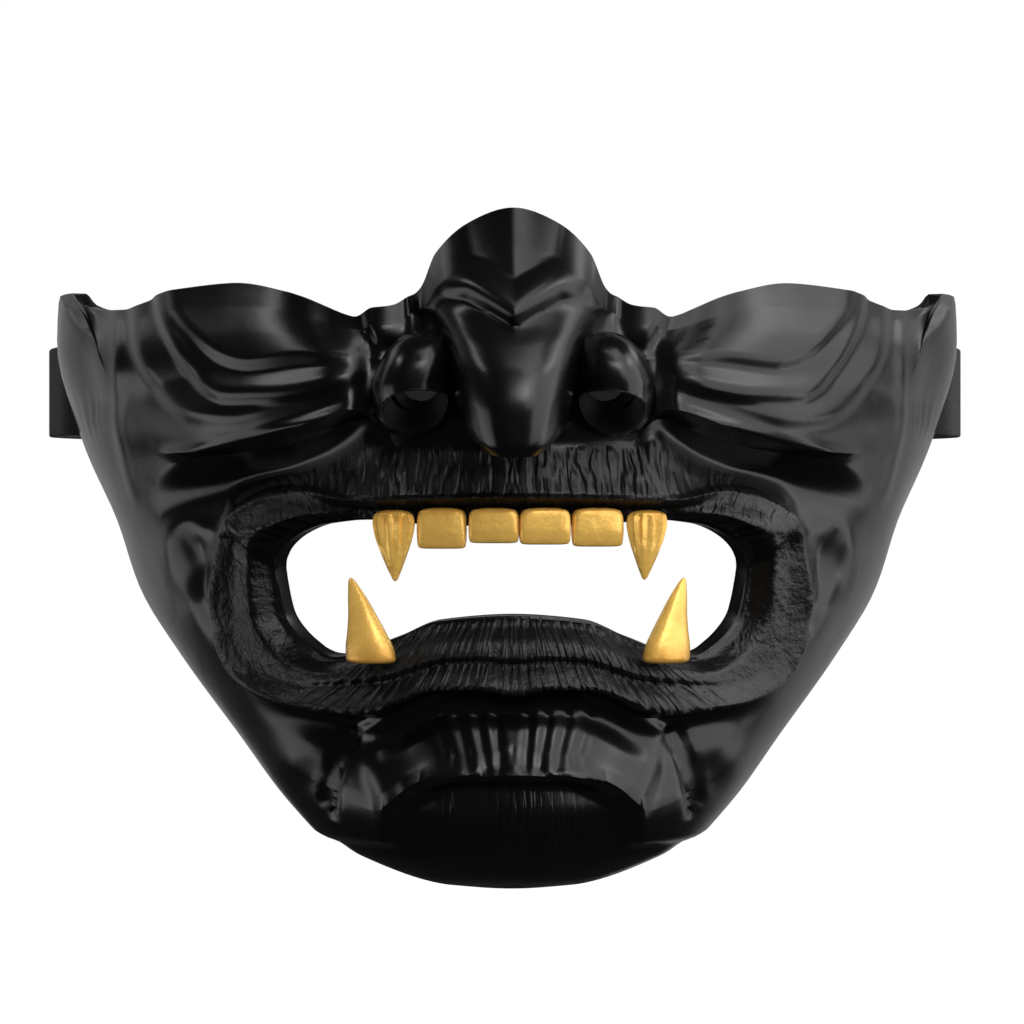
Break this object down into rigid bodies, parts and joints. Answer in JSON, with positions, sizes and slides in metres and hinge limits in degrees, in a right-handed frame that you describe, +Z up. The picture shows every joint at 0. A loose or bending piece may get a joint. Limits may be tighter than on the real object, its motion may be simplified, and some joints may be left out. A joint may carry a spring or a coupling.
{
  "type": "samurai face guard",
  "caption": "Black half-face guard in the style of samurai armour, with a hooked nose, a snarling open mouth, gold teeth and an elastic head strap.",
  "frame": {"origin": "middle of the wearer's head in the plane of the shell's rear rim, at the height of the strap", "axes": "+Z up, -Y the way the face looks, +X to the wearer's left"},
  "size_m": [0.198, 0.2271, 0.135],
  "materials": {
    "lacquered_shell": "satin black",
    "gold_paint": "metallic gold paint",
    "black_elastic": "woven elastic"
  },
  "bodies": {
    "root": {"mask_shell": "lacquered_shell", "upper_fang_right": "gold_paint", "upper_incisor_1": "gold_paint", "upper_incisor_2": "gold_paint", "upper_incisor_3": "gold_paint", "upper_incisor_4": "gold_paint", "upper_fang_left": "gold_paint", "lower_fang_right": "gold_paint", "lower_fang_left": "gold_paint", "head_strap": "black_elastic"}
  },
  "joints": []
}
